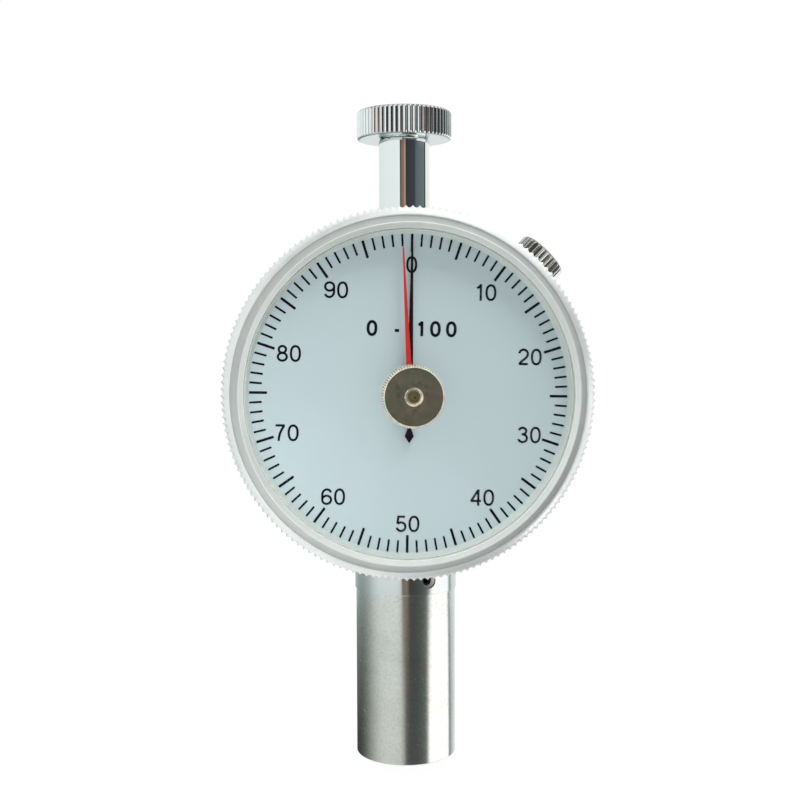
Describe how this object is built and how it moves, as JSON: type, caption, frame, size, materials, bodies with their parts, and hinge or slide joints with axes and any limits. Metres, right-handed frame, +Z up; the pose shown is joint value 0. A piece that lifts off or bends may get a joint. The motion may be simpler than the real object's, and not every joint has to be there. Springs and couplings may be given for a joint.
{
  "type": "analog durometer",
  "caption": "Dial hardness tester: a sprung needle in a round presser foot turns a hand over a knurled round dial case, with a red peak hand, a bezel clamp and a knobbed stem.",
  "frame": {"origin": "centre of the presser foot's flat face, on the spindle's axis", "axes": "+Z up along the spindle from the foot to the top knob, -Y the way the dial faces, +X to the right of someone who reads the dial"},
  "size_m": [0.0646, 0.0314, 0.1185],
  "materials": {
    "foot_steel": "fine brushed steel",
    "neck_chrome": "polished chrome",
    "screw_steel": "turned steel",
    "knob_chrome": "plated straight knurl",
    "case_chrome": "polished plated casting",
    "bezel_chrome": "plated, knurled edge",
    "spacer_cream": "matt cream paint",
    "dial_face": "satin blue-grey face with black printing",
    "window": "clear moulded window",
    "hand_black": "black lacquer",
    "hand_red": "red lacquer",
    "reset_metal": "turned and knurled aluminium",
    "works_brass": "milled brass",
    "works_steel": "ground steel",
    "indenter_steel": "hardened ground steel",
    "spring_steel": "tempered spring steel"
  },
  "bodies": {
    "housing": {"presser_foot": "foot_steel", "guide_tube": "works_brass", "main_spring": "spring_steel", "case_body": "case_chrome", "back_cover": "case_chrome", "upper_stem": "neck_chrome", "back_plate": "works_brass", "front_plate": "works_brass", "plate_pillars": "works_brass", "hairspring": "spring_steel", "hairspring_stud": "screw_steel"},
    "plunger": {"spindle": "works_steel", "indenter": "indenter_steel"},
    "transfer": {"transfer_arbor": "works_brass"},
    "pointer": {"centre_arbor": "works_steel", "main_hand": "hand_black"},
    "bezel_set": {"bezel": "bezel_chrome", "crystal": "window", "dial_spacer_ring": "spacer_cream", "dial": "dial_face"},
    "peak_set": {"max_hand": "hand_red", "reset_knob": "reset_metal"},
    "clamp_pad": {"clamp_shoe": "screw_steel"},
    "clamp_thumb": {"clamp_screw": "knob_chrome"},
    "knob_cap": {"top_knob": "knob_chrome"}
  },
  "joints": [
    {"name": "spindle_slide", "type": "slide", "parent": "housing", "child": "plunger", "axis": [0, 0, 1], "range_m": [0, 0.0025], "stiffness_N_per_m": 17780, "deforming": ["main_spring"]},
    {"name": "transfer_turn", "type": "hinge", "parent": "housing", "child": "transfer", "pos_m": [-0.00314, 0, 0.05683], "axis": [0, 1, 0], "range_deg": [-90, 0]},
    {"name": "pointer_turn", "type": "hinge", "parent": "housing", "child": "pointer", "pos_m": [0, 0, 0.0659], "axis": [0, 1, 0], "range_deg": [0, 360], "deforming": ["hairspring"]},
    {"name": "bezel_turn", "type": "hinge", "parent": "housing", "child": "bezel_set", "pos_m": [0, 0, 0.0659], "axis": [0, 1, 0], "continuous": true},
    {"name": "peak_hand_turn", "type": "hinge", "parent": "bezel_set", "child": "peak_set", "pos_m": [0, 0, 0.0659], "axis": [0, 1, 0], "continuous": true},
    {"name": "clamp_advance", "type": "slide", "parent": "housing", "child": "clamp_pad", "axis": [0.7071, 0, 0.7071], "range_m": [0, 0.0005]},
    {"name": "clamp_turn", "type": "hinge", "parent": "clamp_pad", "child": "clamp_thumb", "pos_m": [0, -0.0042, 0.0659], "axis": [0.7071, 0, 0.7071], "range_deg": [0, 360]},
    {"name": "top_knob_lift", "type": "slide", "parent": "housing", "child": "knob_cap", "axis": [0, 0, 1], "range_m": [0, 0.03]}
  ],
  "couplings": [
    {"joint": "transfer_turn", "follows": "spindle_slide", "rad_per_m": -628.32},
    {"joint": "pointer_turn", "follows": "spindle_slide", "rad_per_m": 2513.3},
    {"joint": "clamp_turn", "follows": "clamp_advance", "rad_per_m": 12566}
  ]
}
